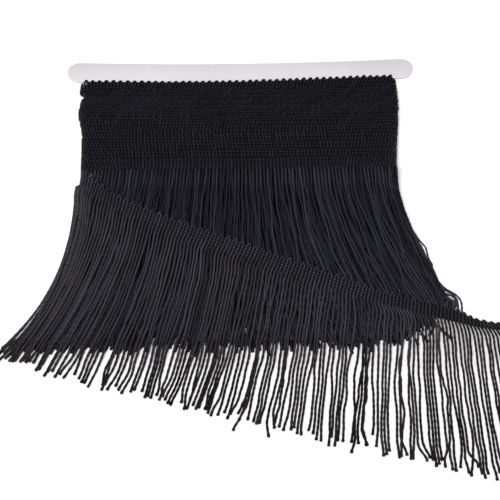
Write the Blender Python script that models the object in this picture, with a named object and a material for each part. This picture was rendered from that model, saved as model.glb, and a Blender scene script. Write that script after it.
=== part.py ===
"""A chainette tassel fringe trim, wound on a flat card, with its last length lying loose over the fringe.

Every size is in millimetres, and solid() turns it into metres. +X runs along the winding, +Y points from
the fringe tips to the card's top bar, and +Z is up. The origin is on the surface that the trim lies on,
under the middle of the wound heading.
"""

import math
from collections import namedtuple

import bpy
import numpy as np

MM = 0.001

# The trim, as it is sold by the metre.
STRAND_PITCH = 2.7  # two strands to each scallop of the heading
STRAND_WIDTH = 1.4
STRAND_HEIGHT = 1.25
SCALLOP_DEPTH = 1.5
HEADING_WIDTH = 12.0
HEADING_THICKNESS = 1.8

# Room between neighbouring solids.
SEAT_GAP = 0.3
LAYER_GAP = 0.5

# The card: a thin plate whose top bar is wider than the waist that the trim is wound on.
CARD_THICKNESS = 2.0
CARD_TOP_Y = 68.0
CARD_END_Y = -44.0
CARD_HALF_WIDTH = 140.0
CARD_LOBE_RADIUS = 9.6
CARD_WAIST_HALF = 112.0
CARD_MIDDLE_Z = 7.8  # height of the card's middle plane over the origin
CARD_SLOPE = 0.0713  # the card dips towards its top bar by this much per millimetre
ARC_STEPS = 8

# The winding lies a little askew, and its upper rows bow upwards at both ends.
SKEW = 0.016
BOW_AT_TOP_ROW = 2.2
PACK_TOP_Y = 48.0
PACK_BOTTOM_Y = -47.0
ROW_EDGES_Y = (48.0, 38.0, 28.0, 18.5, 9.5, 3.0, -4.5, -11.5, -19.0, -27.0, -35.0)
ROW_STEP = 1.3
CORNER_DROP = 3.4  # how far the top row's ends turn down, below the card's lobes
CORNER_START_X = 98.0
CORNER_ROWS_Y = 28.0  # rows below this have straight ends
PACK_FRONT_STATIONS = 11
PACK_SIDE_STATIONS = 5
PACK_BACK_STATIONS = 6

PackSection = namedtuple("PackSection", "y top half_width")
PACK_SECTIONS = (
    PackSection(y=-47.0, top=23.4, half_width=120.5),
    PackSection(y=-22.0, top=19.6, half_width=122.5),
    PackSection(y=20.0, top=13.2, half_width=127.0),
    PackSection(y=48.0, top=9.0, half_width=126.0),
)

# The heap of wound fringe: the top of each layer of it, and its side edges, at lines across the strands.
FringeLine = namedtuple("FringeLine", "y back_top inner_top left right")
FRINGE_LINES = (
    FringeLine(y=-46.0, back_top=9.6, inner_top=19.0, left=-117.0, right=119.0),
    FringeLine(y=-74.0, back_top=8.8, inner_top=17.2, left=-119.0, right=122.5),
    FringeLine(y=-104.0, back_top=7.2, inner_top=13.4, left=-124.0, right=132.0),
    FringeLine(y=-134.0, back_top=5.6, inner_top=9.0, left=-131.5, right=144.5),
    FringeLine(y=-163.0, back_top=4.2, inner_top=5.2, left=-144.0, right=158.5),
    FringeLine(y=-188.0, back_top=3.0, inner_top=3.0, left=-155.0, right=166.0),
    FringeLine(y=-208.0, back_top=0.0, inner_top=0.0, left=-163.0, right=170.0),
)
FAN_FULL = 0.75  # share of the half width from which on the strands lean as much as the edge ones
EDGE_HEIGHT = 0.5  # height of the heap's outermost lanes, as a share of the middle's
EDGE_START = 0.88  # share of the half width at which the heap starts to get lower

# How many strands or locks each layer of the heap has, and where they end.
Layer = namedtuple("Layer", "name count tip_y tip_spread width")
BACK_LAYER = Layer(name="back_fringe", count=28, tip_y=-184.0, tip_spread=5.0, width=0.86)
INNER_LAYER = Layer(name="inner_fringe", count=28, tip_y=-170.0, tip_spread=4.0, width=0.84)
FRONT_ROOT_LIFT = 1.3  # the front strands start this much over the layer below
FRONT_LAYER = Layer(name="front_fringe", count=94, tip_y=-186.5, tip_spread=4.0, width=0.52)
SHORT_SIDE_START = 0.6  # from this lane on, the heap's right side gets shorter,
SHORT_SIDE_RISE = 26.0  # by up to this much at its edge
LAYER_STRIP_DEPTH = 2.0
LEAST_LOCK_HEIGHT = 1.0
TIP_TAPER = 0.8  # size of a strand's or lock's end, as a share of its size before it
LEAST_LAST_RUN = 6.0  # a strand's end lies at least this far past the last line that it crosses
LOCK_CROWN = 0.72  # width of a lock's upper side, as a share of its lower side

# The loose end: its heading's lower edge, where the strands begin, from behind the left side up over the
# fringe and down to the right. carried is its height, as a share of the heap's there, and raised is added
# to that. normal_x and normal_y point the heading's face.
LoosePoint = namedtuple("LoosePoint", "x y carried raised normal_x normal_y")
LOOSE_PATH = (
    LoosePoint(x=-120.4, y=-51.0, carried=0.0, raised=1.4, normal_x=-0.97, normal_y=0.0),
    LoosePoint(x=-122.3, y=-52.8, carried=0.26, raised=1.2, normal_x=-0.98, normal_y=0.0),
    LoosePoint(x=-122.5, y=-55.8, carried=0.55, raised=1.0, normal_x=-0.94, normal_y=0.0),
    LoosePoint(x=-120.7, y=-60.0, carried=0.88, raised=1.2, normal_x=-0.64, normal_y=-0.06),
    LoosePoint(x=-116.4, y=-65.2, carried=1.0, raised=1.8, normal_x=-0.22, normal_y=-0.12),
    LoosePoint(x=-104.3, y=-74.8, carried=1.0, raised=1.0, normal_x=0.0, normal_y=-0.13),
    LoosePoint(x=-85.0, y=-84.6, carried=1.0, raised=0.4, normal_x=0.0, normal_y=-0.09),
    LoosePoint(x=-66.0, y=-93.2, carried=1.0, raised=0.4, normal_x=0.0, normal_y=-0.1),
    LoosePoint(x=-35.8, y=-105.2, carried=1.0, raised=0.4, normal_x=0.0, normal_y=-0.11),
    LoosePoint(x=0.5, y=-118.2, carried=1.0, raised=0.4, normal_x=0.0, normal_y=-0.12),
    LoosePoint(x=38.0, y=-132.4, carried=1.0, raised=0.4, normal_x=0.0, normal_y=-0.12),
    LoosePoint(x=70.0, y=-144.0, carried=1.0, raised=0.4, normal_x=0.0, normal_y=-0.11),
    LoosePoint(x=95.0, y=-153.6, carried=1.0, raised=0.4, normal_x=0.0, normal_y=-0.1),
    LoosePoint(x=116.5, y=-160.0, carried=1.0, raised=0.5, normal_x=0.0, normal_y=-0.1),
    LoosePoint(x=136.0, y=-165.0, carried=1.0, raised=0.6, normal_x=0.0, normal_y=-0.04),
    LoosePoint(x=148.0, y=-168.2, carried=0.92, raised=1.9, normal_x=0.0, normal_y=0.1),
    LoosePoint(x=160.0, y=-171.4, carried=0.62, raised=4.2, normal_x=0.0, normal_y=0.34),
    LoosePoint(x=174.0, y=-174.4, carried=0.3, raised=6.0, normal_x=0.0, normal_y=0.6),
    LoosePoint(x=203.0, y=-178.0, carried=0.0, raised=7.4, normal_x=0.0, normal_y=0.62),
    LoosePoint(x=218.0, y=-180.0, carried=0.0, raised=6.8, normal_x=0.0, normal_y=0.56),
)
LOOSE_STRIP_DEPTH = 1.6
PATH_SAMPLES = 12  # points of the smooth path between two rows of LOOSE_PATH
LOOSE_HEIGHT_FADE = 26.0  # the length in which a strand settles from its root onto what it lies on

# Where the loose strands end. run is how far along the heading such a strand leaves it. Its lean grows
# towards the tip where curve is over 1, and falls off where it is under 1.
LooseTip = namedtuple("LooseTip", "run x y curve")
LOOSE_TIPS = (
    LooseTip(run=0.0, x=-172.0, y=-190.5, curve=1.9),
    LooseTip(run=14.0, x=-167.0, y=-193.4, curve=1.8),
    LooseTip(run=23.0, x=-163.0, y=-195.8, curve=1.7),
    LooseTip(run=38.0, x=-156.5, y=-198.7, curve=1.6),
    LooseTip(run=55.0, x=-147.0, y=-203.0, curve=1.45),
    LooseTip(run=70.0, x=-123.0, y=-209.8, curve=1.35),
    LooseTip(run=88.0, x=-97.0, y=-216.4, curve=1.25),
    LooseTip(run=103.0, x=-74.0, y=-222.6, curve=1.2),
    LooseTip(run=120.0, x=-55.0, y=-227.1, curve=1.3),
    LooseTip(run=137.0, x=-41.0, y=-230.6, curve=1.4),
    LooseTip(run=161.0, x=-26.0, y=-235.0, curve=1.3),
    LooseTip(run=177.0, x=-9.0, y=-240.5, curve=1.15),
    LooseTip(run=200.0, x=14.0, y=-246.2, curve=1.05),
    LooseTip(run=217.0, x=32.5, y=-250.6, curve=1.1),
    LooseTip(run=244.0, x=63.0, y=-257.9, curve=1.0),
    LooseTip(run=266.0, x=102.0, y=-265.8, curve=0.95),
    LooseTip(run=290.0, x=134.0, y=-273.0, curve=0.85),
    LooseTip(run=331.0, x=181.0, y=-284.0, curve=0.9),
    LooseTip(run=385.0, x=238.0, y=-293.0, curve=1.0),
)
TIP_UNEVENNESS = 3.0
SWAY_START_X = -118.0  # strands right of this sway from side to side,
SWAY_RAMP = 60.0  # with their full sway this much further right
SIDE_END_X = -116.0  # strands that begin left of this run down the heap's left side
FLOOR_STEP = 42.0  # longest straight run of a strand that lies on the surface

FIRST_RUN = 5.0  # a strand leaves its root square to the heading for this length
TRIM_COLOUR = (0.014, 0.014, 0.018)
CARD_COLOUR = (0.80, 0.77, 0.79)


def clear_scene():
    for item in list(bpy.data.objects):
        bpy.data.objects.remove(item, do_unlink=True)


def material(name, colour, roughness):
    made = bpy.data.materials.new(name)
    made.use_nodes = True
    shader = made.node_tree.nodes["Principled BSDF"]
    shader.inputs["Base Color"].default_value = (*colour, 1.0)
    shader.inputs["Roughness"].default_value = roughness
    shader.inputs["Metallic"].default_value = 0.0
    return made


def solid(name, vertices, faces, finish):
    mesh = bpy.data.meshes.new(name)
    mesh.from_pydata([[c * MM for c in v] for v in vertices], [], faces)
    mesh.validate()
    mesh.materials.append(finish)
    made = bpy.data.objects.new(name, mesh)
    bpy.context.collection.objects.link(made)
    return made


def column(rows, name):
    return [getattr(row, name) for row in rows]


def read_table(rows, key, name, at):
    """The value of column name where column key is at, by straight lines between the rows."""
    keys = column(rows, key)
    values = column(rows, name)
    if keys[0] > keys[-1]:
        keys = keys[::-1]
        values = values[::-1]
    return float(np.interp(at, keys, values))


def askew(x, y):
    """Moves a point of the straight winding to where it lies: a little askew, its upper rows bowed."""
    height = max(0.0, (y - PACK_BOTTOM_Y) / (PACK_TOP_Y - PACK_BOTTOM_Y))
    bow = BOW_AT_TOP_ROW * height * (x / PACK_SECTIONS[-1].half_width) ** 2
    return y + SKEW * x + bow


def pack_place(x, y):
    """Where a point of a row comes to lie. The top rows' ends turn down, to clear the card's lobes."""
    along = max(0.0, abs(x) - CORNER_START_X) / (CARD_WAIST_HALF - CORNER_START_X)
    height = max(0.0, y - CORNER_ROWS_Y) / (PACK_TOP_Y - CORNER_ROWS_Y)
    return askew(x, y - CORNER_DROP * height * min(1.0, along))


def card_plane(y):
    return CARD_MIDDLE_Z - CARD_SLOPE * y


def loft(rings, close_ends):
    """Faces between rings of equal length, numbered one after the other, each ring closed on itself."""
    size = len(rings[0])
    faces = []
    for ring in range(len(rings) - 1):
        low = ring * size
        high = low + size
        for step in range(size):
            after = (step + 1) % size
            faces.append((low + step, low + after, high + after, high + step))
    if close_ends:
        faces.append(tuple(range(size))[::-1])
        faces.append(tuple(range((len(rings) - 1) * size, len(rings) * size)))
    return faces


# ---------------------------------------------------------------- the card


def card_outline():
    """The card seen from above, from the foot of its waist on the right and round against the clock."""
    lobe_x = CARD_HALF_WIDTH - CARD_LOBE_RADIUS
    lobe_y = CARD_TOP_Y - CARD_LOBE_RADIUS
    points = [(CARD_WAIST_HALF, CARD_END_Y), (CARD_WAIST_HALF, lobe_y - CARD_LOBE_RADIUS)]
    for step in range(ARC_STEPS + 1):
        turn = math.radians(-90.0 + 180.0 * step / ARC_STEPS)
        x = lobe_x + CARD_LOBE_RADIUS * math.cos(turn)
        points.append((x, lobe_y + CARD_LOBE_RADIUS * math.sin(turn)))
    for share in (0.5, 0.0):
        points.append((lobe_x * share, CARD_TOP_Y))
    left = [(-x, y) for x, y in points[-2::-1]]
    return points + left


def build_card(finish):
    outline = card_outline()
    rings = []
    for side in (-0.5, 0.5):
        ring = [(x, askew(x, y), card_plane(y) + side * CARD_THICKNESS) for x, y in outline]
        rings.append(ring)
    vertices = rings[0] + rings[1]
    solid("card", vertices, loft(rings, close_ends=True), finish)


# ------------------------------------------------- the wound heading


def pack_loop(y, top, half_width):
    """A turn of the winding, as a flat loop: its front, its right side, its back and its left side."""
    radius = top / 2.0
    flat = half_width - radius
    loop = [(x, top) for x in np.linspace(-flat, flat, PACK_FRONT_STATIONS)]
    side = []
    for turn in np.linspace(math.pi / 2.0, -math.pi / 2.0, PACK_SIDE_STATIONS + 2)[1:-1]:
        side.append((flat + radius * math.cos(turn), radius + radius * math.sin(turn)))
    loop += side
    loop += [(x, 0.0) for x in np.linspace(flat, -flat, PACK_BACK_STATIONS)]
    loop += [(-x, z) for x, z in side[::-1]]
    return [(x, pack_place(x, y), z) for x, z in loop]


def slot_loop(y):
    """The slot that the card fills, with as many points as pack_loop has."""
    half_height = CARD_THICKNESS / 2.0 + SEAT_GAP
    half_width = CARD_WAIST_HALF + SEAT_GAP
    middle = card_plane(y)
    loop = [(x, middle + half_height) for x in np.linspace(-half_width, half_width, PACK_FRONT_STATIONS)]
    heights = np.linspace(half_height, -half_height, PACK_SIDE_STATIONS + 2)[1:-1]
    loop += [(half_width, middle + height) for height in heights]
    loop += [(x, middle - half_height) for x in np.linspace(half_width, -half_width, PACK_BACK_STATIONS)]
    loop += [(-half_width, middle + height) for height in heights[::-1]]
    return [(x, pack_place(x, y), z) for x, z in loop]


def pack_profile():
    """The winding's thickness from its bottom edge up, with a step at the scalloped edge of each row."""
    profile = [(PACK_BOTTOM_Y, 0.0)]
    for edge in ROW_EDGES_Y[:0:-1]:
        profile.append((edge - 0.5, ROW_STEP / 2.0))
        profile.append((edge + 0.3, -ROW_STEP / 2.0))
    profile.append((ROW_EDGES_Y[0], 0.0))
    return profile


def build_wound_heading(finish):
    rings = []
    for y, step in pack_profile():
        top = read_table(PACK_SECTIONS, "y", "top", y) + step
        rings.append(pack_loop(y, top, read_table(PACK_SECTIONS, "y", "half_width", y)))
    rings.append(slot_loop(PACK_TOP_Y))
    rings.append(slot_loop(PACK_BOTTOM_Y))
    vertices = [point for ring in rings for point in ring]
    faces = loft(rings, close_ends=False)
    size = len(rings[0])
    last = (len(rings) - 1) * size
    for step in range(size):
        after = (step + 1) % size
        faces.append((last + step, last + after, after, step))
    solid("wound_heading", vertices, faces, finish)


# ------------------------------------------------------ strands and their backings


def strand_ring(centre, width, height, sides):
    """The outline of a strand where it crosses centre, the middle of its lower side."""
    x, y, z = centre
    half = width / 2.0
    if sides == 3:
        return [(x - half, y, z), (x + half, y, z), (x, y, z + height)]
    crown = half * LOCK_CROWN
    return [(x - half, y, z), (x + half, y, z), (x + crown, y, z + height), (x - crown, y, z + height)]


def root_places(sides):
    """Where a strand's root lies in its cell of the backing, as shares of the cell's width and height."""
    if sides == 3:
        return ((0.24, 0.12), (0.76, 0.12), (0.5, 0.88))
    return ((0.07, 0.05), (0.93, 0.05), (0.9, 0.95), (0.1, 0.95))


def root_faces(corners, root):
    """Faces between a cell's four corners and the strand's root, both from the lower left and round."""
    low_left, low_right, high_right, high_left = corners
    if len(root) == 3:
        left, right, top = root
        return [
            (low_left, low_right, right, left),
            (low_right, high_right, top, right),
            (high_right, high_left, top),
            (high_left, low_left, left, top),
        ]
    faces = []
    for step in range(4):
        after = (step + 1) % 4
        faces.append((corners[step], corners[after], root[after], root[step]))
    return faces


def build_fringe(name, stations, strands, sides, finish):
    """A backing bar and the strands that grow from it.

    stations are the bar's cross-sections, each from the lower edge of its outer face: lower outer,
    upper outer, upper inner, lower inner. strands has, for each cell between two stations, the list of
    rings that its strand passes through.
    """
    vertices = [point for station in stations for point in station]
    faces = []
    for cell, rings in enumerate(strands):
        left = cell * 4
        right = left + 4
        faces.append((left + 1, right + 1, right + 2, left + 2))
        faces.append((left + 2, right + 2, right + 3, left + 3))
        faces.append((left + 3, right + 3, right, left))
        corners = (left, right, right + 1, left + 1)
        low_left, low_right, high_right, high_left = (np.array(vertices[c]) for c in corners)
        root = []
        for across, up in root_places(sides):
            low = low_left + (low_right - low_left) * across
            high = high_left + (high_right - high_left) * across
            root.append(len(vertices))
            vertices.append(tuple(low + (high - low) * up))
        faces += root_faces(corners, root)
        before = root
        for ring in rings:
            after = list(range(len(vertices), len(vertices) + sides))
            vertices += ring
            for step in range(sides):
                beyond = (step + 1) % sides
                faces.append((before[step], before[beyond], after[beyond], after[step]))
            before = after
        faces.append(tuple(before))
    last = (len(stations) - 1) * 4
    faces.append((0, 1, 2, 3))
    faces.append((last + 3, last + 2, last + 1, last))
    solid(name, vertices, faces, finish)


# --------------------------------------------------------- the heap of wound fringe


def lane_x(lane, y):
    """Where a lane of the heap runs at y. Lanes go from -1 at the left edge to 1 at the right edge."""
    first = FRINGE_LINES[0]
    if lane < 0:
        edge = -first.left
        spread = -read_table(FRINGE_LINES, "y", "left", y) - edge
    else:
        edge = first.right
        spread = read_table(FRINGE_LINES, "y", "right", y) - edge
    fan = math.sin(math.pi / 2.0 * min(1.0, abs(lane) / FAN_FULL))
    return math.copysign(abs(lane) * edge + fan * spread, lane)


def lane_height(lane):
    """How high the heap is in a lane, as a share of its height in the middle."""
    beyond = max(0.0, abs(lane) - EDGE_START) / (1.0 - EDGE_START)
    return 1.0 - (1.0 - EDGE_HEIGHT) * min(beyond, 1.0)


def lane_middle(index, count):
    return (2.0 * index + 1.0) / count - 1.0


def lock_lane_height(lane):
    """The height share of the lock that lies under a lane."""
    count = BACK_LAYER.count
    index = min(count - 1, max(0, int((lane + 1.0) / 2.0 * count)))
    return lane_height(lane_middle(index, count))


def uneven(index, spread):
    """An uneven but repeatable length for strand number index."""
    return spread * (0.6 * math.sin(index * 2.4) + 0.4 * math.sin(index * 0.7 + 1.0))


def short_side(lane):
    """How much sooner the strands of a lane end."""
    return SHORT_SIDE_RISE * max(0.0, (lane - SHORT_SIDE_START) / (1.0 - SHORT_SIDE_START)) ** 2


def heap_lines(tip_y):
    """The lines across the heap that a strand crosses after its root, with its tip as the last."""
    return [line.y for line in FRINGE_LINES[1:] if line.y > tip_y + LEAST_LAST_RUN] + [tip_y]


def build_layer(layer, bottom, top, strip_low, strip_high, sides, finish):
    """One layer of the heap. bottom and top are functions that give its heights in a lane at y."""
    root_y = PACK_BOTTOM_Y - SEAT_GAP
    stations = []
    for index in range(layer.count + 1):
        lane = 2.0 * index / layer.count - 1.0
        x = lane_x(lane, FRINGE_LINES[0].y)
        outer = askew(x, root_y) - LAYER_STRIP_DEPTH
        inner = askew(x, root_y)
        section = ((outer, strip_low), (outer, strip_high), (inner, strip_high), (inner, strip_low))
        stations.append([(x, y, z) for y, z in section])
    strands = []
    for index in range(layer.count):
        lane = lane_middle(index, layer.count)
        tip_y = layer.tip_y + short_side(lane) + uneven(index, layer.tip_spread)
        rings = []
        for y in heap_lines(tip_y):
            x = lane_x(lane, y)
            pitch = lane_x(lane + 1.0 / layer.count, y) - lane_x(lane - 1.0 / layer.count, y)
            low = bottom(lane, y)
            width = pitch * layer.width
            height = top(lane, y) - low
            if y == tip_y:
                width *= TIP_TAPER
                height *= TIP_TAPER
            rings.append(strand_ring((x, y, low), width, height, sides))
        strands.append(rings)
    build_fringe(layer.name, stations, strands, sides, finish)


def back_top(lane, y):
    return read_table(FRINGE_LINES, "y", "back_top", y) * lock_lane_height(lane)


def inner_bottom(lane, y):
    return back_top(lane, y) + LAYER_GAP


def inner_top(lane, y):
    share = lock_lane_height(lane)
    least = back_top(lane, y) + LAYER_GAP + LEAST_LOCK_HEIGHT
    return max(least, read_table(FRINGE_LINES, "y", "inner_top", y) * share)


def front_bottom(lane, y):
    nearby = (lane - 1.0 / FRONT_LAYER.count, lane + 1.0 / FRONT_LAYER.count)
    return max(inner_top(near, y) for near in nearby) + LAYER_GAP


def front_top(lane, y):
    return front_bottom(lane, y) + STRAND_HEIGHT


def build_heap(finish):
    first = FRINGE_LINES[0]
    build_layer(BACK_LAYER, lambda lane, y: 0.0, back_top, 0.0, first.back_top, 4, finish)
    low = first.back_top + LAYER_GAP
    build_layer(INNER_LAYER, inner_bottom, inner_top, low, first.inner_top, 4, finish)
    low = first.inner_top + LAYER_GAP + FRONT_ROOT_LIFT
    build_layer(FRONT_LAYER, front_bottom, front_top, low, low + HEADING_THICKNESS, 3, finish)


# ------------------------------------------------------------- the loose end


def heap_surface(y):
    """The height at which the loose end lies on the heap at y, or on the surface past its tips."""
    least = read_table(FRINGE_LINES, "y", "back_top", y) + LAYER_GAP + LEAST_LOCK_HEIGHT
    inner = max(least, read_table(FRINGE_LINES, "y", "inner_top", y))
    on_heap = inner + 2.0 * LAYER_GAP + STRAND_HEIGHT
    end = FRINGE_LINES[-1].y
    start = FRINGE_LINES[-2].y
    share = min(1.0, max(0.0, (y - end) / (start - end)))
    return on_heap * share


def smooth_path(points, samples_between):
    """A smooth curve through points, by Catmull-Rom pieces."""
    rows = np.array(points)
    rows = np.vstack([2 * rows[0] - rows[1], rows, 2 * rows[-1] - rows[-2]])
    curve = []
    for index in range(1, len(rows) - 2):
        p0, p1, p2, p3 = rows[index - 1 : index + 3]
        for step in range(samples_between):
            t = step / samples_between
            piece = 2 * p1 + (p2 - p0) * t
            piece = piece + (2 * p0 - 5 * p1 + 4 * p2 - p3) * t**2
            piece = piece + (3 * p1 - p0 - 3 * p2 + p3) * t**3
            curve.append(piece / 2)
    curve.append(rows[-2])
    return np.array(curve)


def loose_frames():
    """The loose heading's lower edge at each strand's side: place, run, outward and strand directions."""
    points = []
    for row in LOOSE_PATH:
        z = row.carried * heap_surface(row.y) + row.raised
        points.append((row.x, row.y, z, row.normal_x, row.normal_y))
    curve = smooth_path(points, PATH_SAMPLES)
    lengths = np.concatenate([[0.0], np.cumsum(np.linalg.norm(np.diff(curve[:, :3], axis=0), axis=1))])
    count = int(lengths[-1] / STRAND_PITCH)
    frames = []
    for index in range(count + 1):
        at = index * STRAND_PITCH
        place, ahead, behind = (
            np.array([np.interp(s, lengths, curve[:, c]) for c in range(5)])
            for s in (at, at + 1.0, at - 1.0)
        )
        run = ahead[:3] - behind[:3]
        run = run / np.linalg.norm(run)
        normal = np.array([place[3], place[4], 0.0])
        normal[2] = math.sqrt(max(0.0, 1.0 - normal @ normal))
        strand_way = np.cross(run, normal)
        strand_way = strand_way / np.linalg.norm(strand_way)
        outward = np.cross(strand_way, run)
        frames.append((place[:3], outward, strand_way))
    return frames


def bar_station(frame, near, far):
    """A cross-section of the loose end between two distances from its lower edge, towards the strands."""
    place, outward, strand_way = frame
    lift = outward * HEADING_THICKNESS
    low_outer = place + strand_way * far
    low_inner = place + strand_way * near
    return [tuple(low_outer), tuple(low_outer + lift), tuple(low_inner + lift), tuple(low_inner)]


def build_loose_heading(frames, finish):
    """The flat band over the strands, one station to a strand, its upper edge scalloped."""
    stations = []
    for index, frame in enumerate(frames):
        scallop = SCALLOP_DEPTH if index % 2 == 0 else 0.0
        stations.append(bar_station(frame, scallop - HEADING_WIDTH, -LOOSE_STRIP_DEPTH - SEAT_GAP)[::-1])
    vertices = [point for station in stations for point in station]
    faces = loft(stations, close_ends=True)
    solid("loose_heading", vertices, faces, finish)


def sway(x, y):
    """The sideways wave of the loose strands. The leftmost ones lie too close for one."""
    room = min(1.0, max(0.0, (x - SWAY_START_X) / SWAY_RAMP))
    return room * (0.35 * math.sin(x / 3.1 + y / 37.0) + 0.4 * math.sin(x / 7.3 - y / 23.0 + 1.0))


def carried_share(root):
    """How high a strand lies, as a share of the heap: less than 1 down the heap's left side."""
    if root[0] > SIDE_END_X:
        return 1.0
    return min(1.0, max(0.0, root[2] - 1.0) / heap_surface(root[1]))


def loose_strand(index, left, right):
    """The rings of the loose strand between two frames, from its root out to its tip."""
    root = (left[0] + right[0]) / 2.0
    way = (left[2] + right[2]) / 2.0
    start = root + way * FIRST_RUN
    carried = carried_share(root)
    run = (index + 0.5) * STRAND_PITCH
    tip_x = read_table(LOOSE_TIPS, "run", "x", run)
    mean_tip_y = read_table(LOOSE_TIPS, "run", "y", run)
    curve = read_table(LOOSE_TIPS, "run", "curve", run)
    tip_y = mean_tip_y + uneven(index, TIP_UNEVENNESS)
    heights = [start[2]]
    ys = [start[1]]
    ys += [line.y for line in FRINGE_LINES if tip_y + LEAST_LAST_RUN < line.y < start[1] - FIRST_RUN]
    runs = max(1, math.ceil((ys[-1] - tip_y) / FLOOR_STEP))
    ys += [ys[-1] + (tip_y - ys[-1]) * step / runs for step in range(1, runs + 1)]
    rings = []
    for y in ys:
        share = (y - start[1]) / (mean_tip_y - start[1])
        x = start[0] + (tip_x - start[0]) * share**curve
        x += sway(start[0], y) * min(1.0, share * 3.0)
        settled = min(1.0, (start[1] - y) / LOOSE_HEIGHT_FADE)
        resting = heap_surface(y) * carried
        z = start[2] * (1.0 - settled) + resting * settled
        z = max(z, resting)
        rings.append(strand_ring((x, y, z), STRAND_WIDTH, STRAND_HEIGHT, 3))
    return rings


def build_loose_fringe(frames, finish):
    stations = [bar_station(frame, -LOOSE_STRIP_DEPTH, 0.0) for frame in frames]
    strands = [loose_strand(i, frames[i], frames[i + 1]) for i in range(len(frames) - 1)]
    build_fringe("loose_fringe", stations, strands, 3, finish)


def main():
    clear_scene()
    trim = material("black_trim", TRIM_COLOUR, 0.72)
    board = material("pale_card", CARD_COLOUR, 0.55)
    build_card(board)
    build_wound_heading(trim)
    build_heap(trim)
    frames = loose_frames()
    build_loose_heading(frames, trim)
    build_loose_fringe(frames, trim)


main()
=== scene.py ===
"""The looks of the tassel fringe trim: its card, the knitted heading's cords, every strand, and the light.

Sizes are in millimetres, as in the part's source, and Pile.build() turns them into metres. +X runs along
the winding, +Y points from the strand tips to the card's top bar, and +Z is up.
"""

import math
from collections import namedtuple

import bpy
import numpy as np
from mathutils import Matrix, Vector


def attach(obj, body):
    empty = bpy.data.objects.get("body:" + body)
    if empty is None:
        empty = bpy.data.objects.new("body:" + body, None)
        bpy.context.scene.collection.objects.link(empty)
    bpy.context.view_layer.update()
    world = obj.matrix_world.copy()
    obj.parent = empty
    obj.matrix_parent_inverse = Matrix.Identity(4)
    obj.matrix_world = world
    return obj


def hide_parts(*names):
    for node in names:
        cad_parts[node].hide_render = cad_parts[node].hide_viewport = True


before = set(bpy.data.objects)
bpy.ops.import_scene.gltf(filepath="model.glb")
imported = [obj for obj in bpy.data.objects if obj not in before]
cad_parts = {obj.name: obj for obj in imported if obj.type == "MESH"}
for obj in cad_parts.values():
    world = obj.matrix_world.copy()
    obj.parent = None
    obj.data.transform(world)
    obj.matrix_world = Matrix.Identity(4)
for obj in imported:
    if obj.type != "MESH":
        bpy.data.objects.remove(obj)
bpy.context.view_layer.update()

MM = 0.001


def table(fields, *rows):
    """Rows of values that are read by the fields' names."""
    row_kind = namedtuple("Row", fields)
    return tuple(row_kind(*row) for row in rows)


# The trim.
STRAND_PITCH = 2.7
STRAND_HEIGHT = 1.25
HEADING_WIDTH = 12.0
TWIST_PITCH = 9.0
SCALLOP_REACH = 0.4  # the loops stand out past the heading's edge by this

# The card.
CARD_THICKNESS = 2.0
CARD_TOP_Y = 68.0
CARD_END_Y = -44.0
CARD_HALF_WIDTH = 140.0
CARD_LOBE_RADIUS = 9.6
CARD_WAIST_HALF = 112.0
CARD_MIDDLE_Z = 7.8
CARD_SLOPE = 0.0713
CARD_ARC_STEPS = 28
CARD_BAR_STEPS = 13
CARD_EDGE = 0.35  # radius of the card's cut edge

# The winding.
SKEW = 0.016  # how much higher everything lies for each millimetre to the right
BOW_AT_TOP_ROW = 2.2  # how much higher the top row's ends are than its middle
PACK_TOP_Y = 48.0
PACK_BOTTOM_Y = -47.0
ROW_EDGES_Y = (48.0, 38.0, 28.0, 18.5, 9.5, 3.0, -4.5, -11.5, -19.0, -27.0, -35.0)
ROW_STEP = 1.3  # how much further out a row's edge lies than the row it covers
CORNER_DROP = 3.4  # how far the top row turns down round the card's sides, below its lobes
CORNER_START_X = 98.0
RIGHT_RISE = 1.9  # how much higher the front of the top row is towards its right end
CORNER_ROWS_Y = 28.0  # rows below this don't turn down or rise

PACK_SECTIONS = table(
    "y top half_width",
    (-47.0, 23.4, 120.5),
    (-22.0, 19.6, 122.5),
    (20.0, 13.2, 127.0),
    (48.0, 9.0, 126.0),
)

# The heap of wound fringe: its edges, and how high the strands from the winding's back and its inside lie.
FRINGE_LINES = table(
    "y back_top inner_top left right",
    (-46.0, 9.6, 19.0, -117.0, 119.0),
    (-74.0, 8.8, 17.2, -121.5, 122.5),
    (-104.0, 7.2, 13.4, -125.5, 132.0),
    (-134.0, 5.6, 9.0, -133.5, 144.5),
    (-163.0, 4.2, 5.2, -147.5, 158.5),
    (-188.0, 3.0, 3.0, -162.0, 166.0),
    (-208.0, 0.0, 0.0, -171.0, 170.0),
)
LAYER_GAP = 0.5
LEAST_LOCK_HEIGHT = 1.0

# A strand's lane runs from -1 at the heap's left edge to 1 at its right edge.
FAN_FULL = 0.75  # from this lane on the strands fan out as much as the heap's edge does
SHORT_SIDE_START = 0.5  # from this lane on the strands end higher up,
SHORT_SIDE_RISE = 22.0  # by so much at the right edge,
LAST_RISE_START = 0.7  # and from this one on higher still
LAST_RISE = 17.0
HIGHEST_TIP_Y = -158.0  # none of them ends above the loose heading
EDGE_START = 0.88  # from this lane on the heap gets thinner,
EDGE_HEIGHT = 0.5  # to this share of its height

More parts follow.
